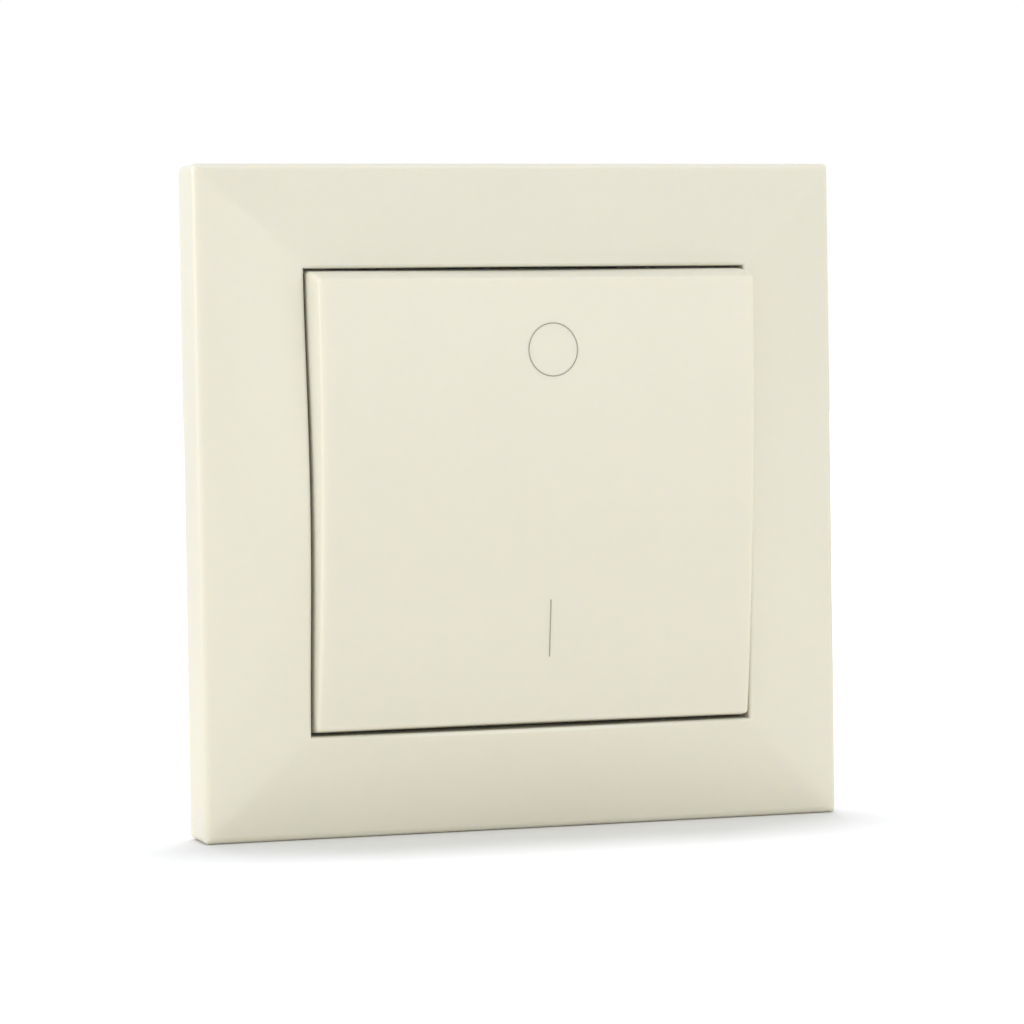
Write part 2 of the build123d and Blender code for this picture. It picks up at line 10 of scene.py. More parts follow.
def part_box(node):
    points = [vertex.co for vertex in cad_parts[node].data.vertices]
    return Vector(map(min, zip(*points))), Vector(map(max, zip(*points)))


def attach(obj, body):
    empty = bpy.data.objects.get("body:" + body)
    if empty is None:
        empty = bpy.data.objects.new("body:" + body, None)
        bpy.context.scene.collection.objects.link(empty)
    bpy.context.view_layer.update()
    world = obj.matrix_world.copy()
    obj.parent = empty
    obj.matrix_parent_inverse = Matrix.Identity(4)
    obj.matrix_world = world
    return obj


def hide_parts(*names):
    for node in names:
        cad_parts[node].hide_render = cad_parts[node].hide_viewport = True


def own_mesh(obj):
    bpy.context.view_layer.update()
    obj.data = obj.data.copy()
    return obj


bl_info = {
    "name": "Rocker light switch",
    "version": (1, 0, 0),
    "blender": (4, 5, 0),
    "location": "3D View > Sidebar > Switch",
    "description": "Finishes, marks, screws, springs and stage of a flush rocker switch",
    "category": "Object",
}

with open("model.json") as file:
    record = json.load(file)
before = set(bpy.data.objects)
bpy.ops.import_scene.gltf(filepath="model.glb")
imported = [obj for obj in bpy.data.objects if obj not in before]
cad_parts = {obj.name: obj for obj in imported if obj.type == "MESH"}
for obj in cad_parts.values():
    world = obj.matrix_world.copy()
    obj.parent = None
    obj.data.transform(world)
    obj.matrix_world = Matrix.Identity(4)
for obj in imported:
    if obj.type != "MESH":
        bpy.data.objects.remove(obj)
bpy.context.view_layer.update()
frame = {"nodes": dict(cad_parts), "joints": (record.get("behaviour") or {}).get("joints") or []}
NODES = frame["nodes"]
JOINTS = {joint["name"]: joint for joint in frame["joints"]}
FLOOR_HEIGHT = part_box("cover_frame")[0].z
SIDES = ("left", "right")
ENDS = ("top", "bottom")

# Lengths are metres. These two turn a size as it is measured into metres.
MM = 0.001
MICRON = 0.000001

# The wall is the plane Y = 0, and the switch looks out of it along -Y.
TO_WALL = (0, 1, 0)
FACE_OUT = (math.pi / 2, 0, 0)
# How far in front of the rocker a ray at its face starts.
RAY_START = 10 * MM

# Points or sides that make round and bent shapes smooth.
RING_POINTS = 128
BAR_POINTS = 32
TURN_POINTS = 32
BEND_POINTS = 8
WIRE_SIDES = 12
SHANK_SIDES = 32
HEAD_SIDES = 48

# A Mix node's two inputs and its result, for each kind of value that it can mix.
MIX_SOCKETS = {"RGBA": (6, 7, 2), "VECTOR": (4, 5, 1)}
# Squeezes noise into the lines that rolling leaves along a sheet.
ROLLED = (1, 1, 0.05)


def linear(red, green, blue):
    """The scene's own colour for one that is read off a screen as three numbers up to 255."""
    levels = [level / 255 for level in (red, green, blue)]
    return tuple(
        level / 12.92 if level <= 0.04045 else ((level + 0.055) / 1.055) ** 2.4 for level in levels
    )


def length(name, description, default):
    return FloatProperty(
        name=name, description=description, default=default, unit="LENGTH", precision=5
    )


def colour(name, description, default):
    return FloatVectorProperty(
        name=name, description=description, default=default, subtype="COLOR", size=3, min=0, max=1
    )


def share(name, description, default):
    return FloatProperty(name=name, description=description, default=default, min=0, max=1)


def level(name, description, default):
    return FloatProperty(name=name, description=description, default=default, min=0)


def angle(name, description, default):
    return FloatProperty(name=name, description=description, default=default, subtype="ANGLE")


class SwitchColours(bpy.types.PropertyGroup):
    """The colours of the switch's materials."""

    ivory: colour("Ivory", "Moulding of the cover frame and the rocker", linear(224, 222, 208))
    ink: colour("Marks", "Fine lines of the two marks on the rocker", linear(150, 150, 132))
    pale: colour("Pale parts", "Carrier, switch cover and plungers", linear(222, 221, 214))
    grey: colour("Insert base", "Moulded block behind the plate", linear(176, 178, 178))
    orange: colour("Release levers", "Push buttons at the back", linear(222, 120, 48))
    zinc: colour("Zinc", "Plating of the mounting plate and the screws", linear(205, 208, 212))
    steel: colour("Spring steel", "Coils and leaf springs", linear(176, 175, 172))
    brass: colour("Brass", "Contact strips and bridges", linear(222, 184, 112))
    tarnish: colour("Tarnish", "Where the brass has aged", linear(150, 108, 62))
    silver: colour("Silver", "Contact faces", linear(232, 230, 226))


class SwitchSurface(bpy.types.PropertyGroup):
    """The fine relief and the gloss of the mouldings."""

    gloss_roughness: share("Front roughness", "Roughness of the ivory front", 0.34)
    grain_size: length("Grain size", "Spacing of the mould's fine grain", 220 * MICRON)
    grain_depth: length("Grain depth", "Height of the mould's fine grain", 1.2 * MICRON)
    depth: length("Light depth", "How far light goes into the moulding", 1.5 * MM)
    sink_size: length("Sink size", "Spacing of the moulding's slow waves", 14 * MM)
    sink_depth: length("Sink depth", "Height of the moulding's slow waves", 9 * MICRON)
    mitre_blend: length("Mitre blend", "Half the width of a mitre's soft ridge", 1.0 * MM)
    mitre_start: length("Mitre start", "Height above the wall where a ridge starts", 5.8 * MM)
    limb_width: length("Limb width", "From the frame's edge to its opening", 12.55 * MM)
    outer_slope: share("Outer slope", "Rise of a limb beside the frame's edge", 0.328)
    inner_slope: share("Inner slope", "Rise of a limb beside the opening's corner", 0.158)


class SwitchMarks(bpy.types.PropertyGroup):
    """The ring and the bar on the rocker's face."""

    line_width: length("Line width", "Width of a mark's line", 0.14 * MM)
    line_height: length("Line height", "How far a line stands out of the face", 0.02 * MM)
    ring_width: length("Ring width", "Across the middle of the ring's line", 6.08 * MM)
    ring_height: length("Ring height", "Up the middle of the ring's line", 6.3 * MM)
    ring_x: length("Ring offset", "Ring's middle to the right of the rocker's", 1.45 * MM)
    ring_z: length("Ring level", "Ring's middle above the rocker's", 17.72 * MM)
    bar_length: length("Bar length", "Length of the bar", 6.9 * MM)
    bar_x: length("Bar offset", "Bar's middle to the right of the rocker's", 1.28 * MM)
    bar_z: length("Bar level", "Bar's middle above the rocker's", -15.6 * MM)


class SwitchFasteners(bpy.types.PropertyGroup):
    """The four cover screws and the two plunger springs."""

    screw_spacing_x: length("Screw spacing across", "Between the screws' axes", 32 * MM)
    screw_spacing_z: length("Screw spacing up", "Between the screws' axes", 36 * MM)
    seat: length("Screw seat", "Out from the wall to the underside of a head", 3.2 * MM)
    head_radius: length("Head radius", "Radius of a screw's head", 2.0 * MM)
    head_height: length("Head height", "Thickness of a screw's head", 1.3 * MM)
    head_chamfer: length("Head chamfer", "Slope round a head's rim", 0.4 * MM)
    recess_width: length("Recess width", "Width of one bar of the cross", 0.5 * MM)
    recess_length: length("Recess length", "Length of one bar of the cross", 2.2 * MM)
    recess_depth: length("Recess depth", "Depth of the cross", 0.8 * MM)
    shank_radius: length("Shank radius", "Radius of a screw's shank", 1.0 * MM)
    shank_length: length("Shank length", "From the head's underside to the tip", 11.2 * MM)
    wire: length("Spring wire", "Diameter of the plunger springs' wire", 0.5 * MM)
    coil_radius: length("Coil radius", "Radius at the middle of the wire", 1.25 * MM)
    coil_start: length("Coil start", "From the rocker's axle back to a coil's near end", 1.06 * MM)
    coil_length: length("Coil length", "Length of a coil at the middle of the wire", 6.0 * MM)
    coil_turns: level("Turns", "Turns of a coil, with a closed one at each end", 6.0)
    coil_pressed: share("Pressed coil", "A coil's length with its plunger pushed in", 0.875)


class SwitchLeaves(bpy.types.PropertyGroup):
    """The four leaf springs that hold the wires."""

    spacing: length("Spacing", "From the switch's middle to a leaf's middle", 9.0 * MM)
    width: length("Leaf width", "Width of a leaf", 5.0 * MM)
    sheet: length("Leaf sheet", "Thickness of a leaf", 0.4 * MM)
    bend: length("Leaf bend", "Radius of a leaf's bends", 1.4 * MM)
    back: length("Leaf back", "Rear end of a leaf's long leg", 17.8 * MM)
    front: length("Leaf front", "Folded front of a leaf", 9.5 * MM)
    outer: length("Leaf outside", "Height of a leaf's long leg from the middle", 19.3 * MM)
    inner: length("Leaf tip height", "Height of a leaf's tip from the middle", 14.6 * MM)
    tip: length("Leaf tip", "Rear end of a leaf's short leg", 15.6 * MM)
    pressed: share("Pressed leaf", "A leaf's depth with its lever pushed in", 0.91)


class SwitchStage(bpy.types.PropertyGroup):
    """The camera, the lamps and the floor."""

    azimuth: angle("Azimuth", "Camera round the switch", -0.3072)
    elevation: angle("Elevation", "Camera above the floor", 0.03590)
    roll: angle("Roll", "Camera about its own axis", -0.01593)
    distance: length("Distance", "From the camera to the point it looks at", 0.4845)
    target_x: length("Target across", "Where the camera looks, to the right", 0.76 * MM)
    target_z: length("Target height", "Where the camera looks, upwards", -2.05 * MM)
    lens: FloatProperty(name="Lens", description="Focal length", default=138.81, unit="CAMERA")
    world_level: level("World", "Light from all round", 0.8)
    front_power: level("Front lamp", "Power of the wide lamp behind the camera", 2.3)
    side_power: level("Side lamp", "Power of the lamp on the left", 2.7)
    top_power: level("Top lamp", "Power of the lamp above the switch", 1.0)
    floor_power: level("Floor lamp", "Power of the lamp above the floor", 3.0)
    floor_seen: colour("Floor tone", "Floor as the camera sees it", (0.92, 0.93, 0.95))
    floor_lit: colour("Floor bounce", "Floor as it lights the switch", (0.86, 0.84, 0.79))
    floor_reach: length("Floor size", "From the floor's middle to its sides", 4.0)
    near_floor: length("Near floor", "How far out the floor keeps its own tone", 0.20)
    far_floor: length("Far floor", "Where the floor has gone to plain white", 0.70)


# Each lamp's place, its width and height, and its word on the floor: EXCLUDE leaves the floor
# out, so that the lamp lights the switch alone, and INCLUDE lights the floor alone.
LAMPS = {
    "front": (Vector((0.05, -1.0, 0.12)), (1.3, 0.3), "EXCLUDE"),
    "side": (Vector((-0.85, 0.17, 0.25)), (0.5, 0.5), "EXCLUDE"),
    "top": (Vector((0.15, -0.05, 0.90)), (0.5, 0.5), "EXCLUDE"),
    "floor": (Vector((0.03, 0.13, 0.79)), (0.24, 0.24), "INCLUDE"),
}


class Wire:
    """An output socket of a node. Arithmetic on wires adds Math nodes to their tree."""

    def __init__(self, nodes, socket):
        self.nodes = nodes
        self.socket = socket

    def __add__(self, other):
        return self.nodes.maths("ADD", self, other)

    def __radd__(self, other):
        return self.nodes.maths("ADD", other, self)

    def __sub__(self, other):
        return self.nodes.maths("SUBTRACT", self, other)

    def __rsub__(self, other):
        return self.nodes.maths("SUBTRACT", other, self)

    def __mul__(self, other):
        return self.nodes.maths("MULTIPLY", self, other)

    def __rmul__(self, other):
        return self.nodes.maths("MULTIPLY", other, self)

    def __truediv__(self, other):
        return self.nodes.maths("DIVIDE", self, other)

    def __pow__(self, other):
        return self.nodes.maths("POWER", self, other)

    def __abs__(self):
        return self.nodes.maths("ABSOLUTE", self)


class Nodes:
    """A node tree in the making."""

    def __init__(self, tree):
        self.tree = tree

    def node(self, kind, settings=None, inputs=None, output=0):
        """Adds a node, with its settings first and then the values or wires of its sockets."""
        made = self.tree.nodes.new(kind)
        for key, value in (settings or {}).items():
            if key == "stops":
                self.set_stops(made.color_ramp, value)
            else:
                setattr(made, key, value)
        for key, value in (inputs or {}).items():
            for one in value if isinstance(value, list) else [value]:
                self.feed(made.inputs[key], one)
        return Wire(self, made.outputs[output]) if made.outputs else None

    def set_stops(self, ramp, stops):
        while len(ramp.elements) < len(stops):
            ramp.elements.new(1)
        for element, (position, tone) in zip(ramp.elements, stops):
            element.position = position
            element.color = (tone, tone, tone, 1)

    def feed(self, socket, value):
        if isinstance(value, Wire):
            self.tree.links.new(value.socket, socket)
        elif socket.type == "RGBA" and len(value) == 3:
            socket.default_value = (*value, 1)
        else:
            socket.default_value = value

    def maths(self, operation, first, second=0.0, clamped=False):
        return self.node(
            "ShaderNodeMath", {"operation": operation, "use_clamp": clamped}, {0: first, 1: second}
        )

    def mix(self, kind, amount, first, second):
        """A colour or a place that goes from the first to the second."""
        one, other, result = MIX_SOCKETS[kind]
        inputs = {"Factor": amount, one: first, other: second}
        return self.node("ShaderNodeMix", {"data_type": kind}, inputs, result)


class Paint(Nodes):
    """A material in the making."""

    def __init__(self, name):
        self.material = bpy.data.materials.new(name)
        self.material.use_nodes = True
        super().__init__(self.material.node_tree)
        self.tree.nodes.clear()
        self.place = self.node("ShaderNodeTexCoord", output="Object")

    def along(self, axis):
        """The place along one axis, in metres."""
        return self.node("ShaderNodeSeparateXYZ", None, {0: self.place}, axis)

    def noise(self, size, detail=2.0, stretch=None):
        """Soft noise about 0.5, with lumps of a given size."""
        place = self.place
        if stretch:
            place = self.node("ShaderNodeMapping", None, {"Vector": place, "Scale": stretch})
        inputs = {"Vector": place, "Scale": 1 / size, "Detail": detail}
        return self.node("ShaderNodeTexNoise", None, inputs, "Fac")

    def cells(self, size, output="Distance"):
        inputs = {"Vector": self.place, "Scale": 1 / size}
        return self.node("ShaderNodeTexVoronoi", None, inputs, output)

    def ramp(self, value, stops):
        """A level that follows another through black and white stops."""
        return self.node("ShaderNodeValToRGB", {"stops": stops}, {"Fac": value}, "Color")

    def rise(self, value, low, high):
        """A level that goes smoothly from 0 at a low value to 1 at a high one."""
        return self.node(
            "ShaderNodeMapRange",
            {"interpolation_type": "SMOOTHSTEP"},
            {"Value": value, "From Min": low, "From Max": high},
            "Result",
        )

    def blend(self, amount, first, second):
        """A colour that goes from the first to the second."""
        return self.mix("RGBA", amount, first, second)

    def uneven(self, pattern, base, darkest, lightest):
        """A colour that a pattern makes a little darker here and lighter there."""
        return self.blend(pattern, tinted(base, darkest), tinted(base, lightest))

    def relief(self, height, depth=1.0):
        """The bent normal of a relief, whose height times the depth is in metres."""
        inputs = {"Strength": 1.0, "Distance": depth, "Height": height}
        return self.node("ShaderNodeBump", None, inputs, "Normal")

    def finish(self, **sockets):
        """Ends the material in a Principled shader, whose sockets are named with underscores."""
        named = {key.replace("_", " "): value for key, value in sockets.items()}
        shader = self.node("ShaderNodeBsdfPrincipled", None, named, "BSDF")
        self.node("ShaderNodeOutputMaterial", None, {"Surface": shader})
        return self.material


def tinted(base, factor):
    """A colour made lighter or darker."""
    return tuple(min(1.0, tone * factor) for tone in base)


def about(middle, spread, pattern):
    """A level that a pattern takes to either side of its middle."""
    return middle - spread + 2 * spread * pattern


def soft_mitres(paint, surface):
    """The height in metres that rounds the ridges where the frame's limbs meet."""
    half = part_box("cover_frame")[1].x
    across = abs(paint.along("X"))
    up = abs(paint.along("Z"))
    apart = abs(across - up)
    inward = (half - 0.5 * (across + up + apart)) * (1 / surface.limb_width)
    slope = surface.outer_slope + inward * (surface.inner_slope - surface.outer_slope)
    blend = surface.mitre_blend
    lowered = (apart - (apart * apart + blend * blend) ** 0.5) * slope * 0.5
    start = surface.mitre_start
    return lowered * paint.rise(-1 * paint.along("Y"), start, start + blend)


def satin_ivory(name, colours, surface, ridges=None):
    """Smooth moulding with a soft gloss, a fine grain and the slow waves of a thin wall."""
    paint = Paint(name)
    flow = paint.noise(surface.sink_size, detail=1.0)
    grain = paint.noise(surface.grain_size, detail=3.0)
    height = flow * surface.sink_depth + grain * surface.grain_depth
    if ridges:
        height = height + ridges(paint, surface)
    return paint.finish(
        Base_Color=paint.uneven(flow, colours.ivory, darkest=0.985, lightest=1.01),
        Roughness=about(surface.gloss_roughness, 0.03, grain),
        Normal=paint.relief(height),
        IOR=1.49,
        Subsurface_Weight=0.5,
        Subsurface_Radius=(1.0, 0.8, 0.45),
        Subsurface_Scale=surface.depth,
    )


def grained_plastic(name, base, roughness, grain_size, grain_depth, fleck=0.0):
    """Matte moulding with a sparked grain and, where it is filled, pale flecks of fibre."""
    paint = Paint(name)
    cloud_size = 30 * grain_size
    fleck_size = 1.6 * grain_size
    grain = paint.noise(grain_size, detail=3.0)
    body = paint.uneven(paint.noise(cloud_size), base, darkest=0.95, lightest=1.03)
    if fleck:
        flecks = paint.ramp(paint.cells(fleck_size), [(0.0, 1.0), (0.16, 0.0)])
        body = paint.blend(flecks * fleck, body, tinted(base, 1.3))
    return paint.finish(
        Base_Color=body,
        Roughness=about(roughness, 0.05, grain),
        Normal=paint.relief(grain, grain_depth),
        IOR=1.5,
    )


def rolled_metal(name, base, roughness, streak=None, spangle_size=None, tarnish=None):
    """Sheet metal with fine rolling lines, and spangle or tarnish where the metal has it."""
    paint = Paint(name)
    line_size = 0.12 * MM
    line_depth = 1.5 * MICRON
    patch_size = 4 * MM
    lines = paint.noise(line_size, stretch=streak)
    patches = paint.noise(patch_size, detail=3.0)
    body = paint.uneven(lines, base, darkest=0.93, lightest=1.05)
    if spangle_size:
        crystals = paint.ramp(paint.cells(spangle_size, "Color"), [(0.2, 0.0), (0.8, 1.0)])
        body = paint.blend(0.35 * crystals, body, tinted(base, 0.8))
    if tarnish:
        stain = paint.ramp(patches, [(0.45, 0.0), (0.75, 1.0)])
        body = paint.blend(0.45 * stain, body, tarnish)
    return paint.finish(
        Base_Color=body,
        Metallic=1.0,
        Roughness=about(roughness, 0.06, patches),
        Normal=paint.relief(lines, line_depth),
    )


def line_ink(colours):
    """Thin matte ink of the marks, a little uneven where it was laid on."""
    paint = Paint("line_ink")
    wear = paint.noise(0.3 * MM)
    return paint.finish(
        Base_Color=paint.uneven(wear, colours.ink, darkest=0.85, lightest=1.15),
        Roughness=about(0.55, 0.05, wear),
    )


def cover(material, *names):
    """Gives CAD nodes a material in every slot."""
    for name in names:
        for slot in NODES[name].material_slots:
            slot.material = material


def mesh_object(name, mesh):
    made = bpy.data.objects.new(name, mesh)
    bpy.context.scene.collection.objects.link(made)
    return made


class Shapes(Nodes):
    """A Geometry Nodes tree in the making, with named inputs for its sizes."""

    def __init__(self, name):
        tree = bpy.data.node_groups.new(name, "GeometryNodeTree")
        tree.is_modifier = True
        tree.interface.new_socket("Geometry", in_out="OUTPUT", socket_type="NodeSocketGeometry")
        super().__init__(tree)
        self.inputs = tree.nodes.new("NodeGroupInput")
        self.values = {}

    def size(self, name, value, kind="NodeSocketFloat"):
        """A named input, and the output that carries it through the tree."""
        socket = self.tree.interface.new_socket(name, in_out="INPUT", socket_type=kind)
        self.values[socket.identifier] = value
        return Wire(self, self.inputs.outputs[socket.identifier])

    def sizes(self, group, *names):
        """One named input for each of a property group's sizes."""
        properties = group.bl_rna.properties
        return [self.size(properties[name].name, getattr(group, name)) for name in names]

    def vector(self, x, y, z):
        return self.node("ShaderNodeCombineXYZ", None, {0: x, 1: y, 2: z})

    def moved(self, shape, place, turn=(0, 0, 0), scale=(1, 1, 1)):
        """A shape scaled, then turned, then set at a place."""
        inputs = {0: shape, "Translation": place, "Rotation": turn, "Scale": scale}
        return self.node("GeometryNodeTransform", None, inputs)

    def raised(self, shape, height):
        return self.moved(shape, self.vector(0.0, 0.0, height))

    def laid(self, shape, places):
        """A shape with each of its points at a new place."""
        return self.node("GeometryNodeSetPosition", None, {0: shape, "Position": places})

    def joined(self, *shapes):
        return self.node("GeometryNodeJoinGeometry", None, {0: list(shapes)})

    def cut(self, shape, tool):
        return self.boolean("DIFFERENCE", {0: shape, 1: tool})

    def fused(self, *shapes):
        return self.boolean("UNION", {1: list(shapes)})

    def boolean(self, operation, inputs):
        settings = {"operation": operation, "solver": "EXACT"}
        return self.node("GeometryNodeMeshBoolean", settings, inputs)

    def met(self, target, start=None):
        """Where rays towards the wall meet a target, from each point or from another start."""
        inputs = {"Target Geometry": target, "Ray Direction": TO_WALL}
        if start:
            inputs["Source Position"] = start
        return self.node("GeometryNodeRaycast", None, inputs, "Hit Position")

    def round_bar(self, radius, depth, sides):
        """A cylinder along Z, its middle at the origin."""
        inputs = {"Vertices": sides, "Radius": radius, "Depth": depth}
        return self.node("GeometryNodeMeshCylinder", None, inputs, "Mesh")

    def circle(self, radius, points):
        inputs = {"Resolution": points, "Radius": radius}
        return self.node("GeometryNodeCurvePrimitiveCircle", {"mode": "RADIUS"}, inputs)

    def resampled(self, path, points):
        return self.node("GeometryNodeResampleCurve", None, {0: path, "Count": points})

    def swept(self, path, section):
        inputs = {0: path, 1: section, "Fill Caps": True}
        return self.node("GeometryNodeCurveToMesh", None, inputs)

    def wire(self, path, width):
        """A round wire that follows a path."""
        return self.swept(path, self.circle(width / 2, WIRE_SIDES))

    def build(self, name, geometry, material):
        """Runs the tree on an empty mesh and keeps its result as a plain mesh."""
        whole = self.node("GeometryNodeRealizeInstances", None, {0: geometry})
        painted = self.node("GeometryNodeSetMaterial", None, {0: whole, "Material": material})
        self.node("NodeGroupOutput", None, {0: painted})
        made = mesh_object(name, bpy.data.meshes.new(name))
        modifier = made.modifiers.new(name, "NODES")
        modifier.node_group = self.tree
        for identifier, value in self.values.items():
            modifier[identifier] = value
        seen = made.evaluated_get(bpy.context.evaluated_depsgraph_get())
        result = bpy.data.meshes.new_from_object(seen)
        made.modifiers.clear()
        made.data = result
        return made


class SWITCH_OT_finish_front(bpy.types.Operator):
    """Give the cover frame and the rocker their ivory moulding"""

    bl_idname = "switch.finish_front"
    bl_label = "Finish the front"

    def execute(self, context):
        colours = context.scene.switch_colours
        surface = context.scene.switch_surface
        cover(satin_ivory("frame_ivory", colours, surface, soft_mitres), "cover_frame")
        cover(satin_ivory("rocker_ivory", colours, surface), "rocker")
        return {"FINISHED"}


class SWITCH_OT_draw_marks(bpy.types.Operator):
    """Lay the ring and the bar on the rocker's face"""

    bl_idname = "switch.draw_marks"
    bl_label = "Draw the marks"

    def execute(self, context):
        marks = context.scene.switch_marks
        shapes = Shapes("marks")
        width, height = shapes.sizes(marks, "line_width", "line_height")
        ring_width, ring_height = shapes.sizes(marks, "ring_width", "ring_height")
        ring_x, ring_z = shapes.sizes(marks, "ring_x", "ring_z")
        bar_length, bar_x, bar_z = shapes.sizes(marks, "bar_length", "bar_x", "bar_z")
        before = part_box("rocker")[0].y - RAY_START
        ring = shapes.moved(
            shapes.circle(0.5, RING_POINTS),
            shapes.vector(ring_x, before, ring_z),
            FACE_OUT,
            shapes.vector(ring_width, ring_height, 1.0),
        )
        half = bar_length / 2
        ends = {
            "Start": shapes.vector(bar_x, before, bar_z - half),
            "End": shapes.vector(bar_x, before, bar_z + half),
        }
        bar = shapes.node("GeometryNodeCurvePrimitiveLine", {"mode": "POINTS"}, ends)
        bar = shapes.resampled(bar, BAR_POINTS)
        face = shapes.node(
            "GeometryNodeObjectInfo",
            {"transform_space": "RELATIVE"},
            {0: shapes.size("Face", NODES["rocker"], "NodeSocketObject")},
            "Geometry",
        )
        lines = shapes.laid(shapes.joined(ring, bar), shapes.met(face))
        # A round wire on the face is pressed flat towards it, down to the height of a line.
        place = shapes.node("GeometryNodeInputPosition")
        start = shapes.node(
            "ShaderNodeVectorMath", {"operation": "ADD"}, {0: place, 1: (0, -RAY_START, 0)}
        )
        flatness = height * 2 / width
        pressed = shapes.mix("VECTOR", flatness, shapes.met(face, start), place)
        lines = shapes.laid(shapes.wire(lines, width), pressed)
        made = shapes.build("rocker_marks", lines, line_ink(context.scene.switch_colours))
        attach(made, "rocker")
        return {"FINISHED"}


class SWITCH_OT_finish_insert(bpy.types.Operator):
    """Give the pieces of the insert their plastics and metals"""

    bl_idname = "switch.finish_insert"
    bl_label = "Finish the insert"

    def execute(self, context):
        colours = context.scene.switch_colours
        fine = {"grain_size": 0.25 * MM, "grain_depth": 4 * MICRON}
        pale = grained_plastic("pale_moulding", colours.pale, 0.45, **fine)
        orange = grained_plastic("orange_moulding", colours.orange, 0.42, **fine)
        coarse = {"grain_size": 0.3 * MM, "grain_depth": 8 * MICRON, "fleck": 0.5}
        grey = grained_plastic("grey_moulding", colours.grey, 0.55, **coarse)
        zinc = rolled_metal("zinc_plate", colours.zinc, 0.36, ROLLED, spangle_size=1.6 * MM)
        steel = rolled_metal("spring_steel", colours.steel, 0.3)
        brass = rolled_metal("stamped_brass", colours.brass, 0.32, ROLLED, tarnish=colours.tarnish)
        silver = rolled_metal("contact_silver", colours.silver, 0.28)
        cover(pale, "rocker_carrier", "switch_cover")
        cover(grey, "insert_base")
        cover(zinc, "mounting_plate", "cover_screws")
        for side in SIDES:
            cover(pale, f"plunger_{side}")
            cover(steel, f"plunger_spring_{side}")
            cover(brass, f"contact_bridge_{side}", f"common_terminal_{side}")
            cover(brass, f"fixed_contact_{side}")
            cover(silver, f"moving_contact_{side}", f"fixed_contact_tip_{side}")
            for end in ENDS:
                cover(steel, f"terminal_spring_{end}_{side}")
        for end in ENDS:
            cover(orange, f"release_lever_{end}")
        return {"FINISHED"}


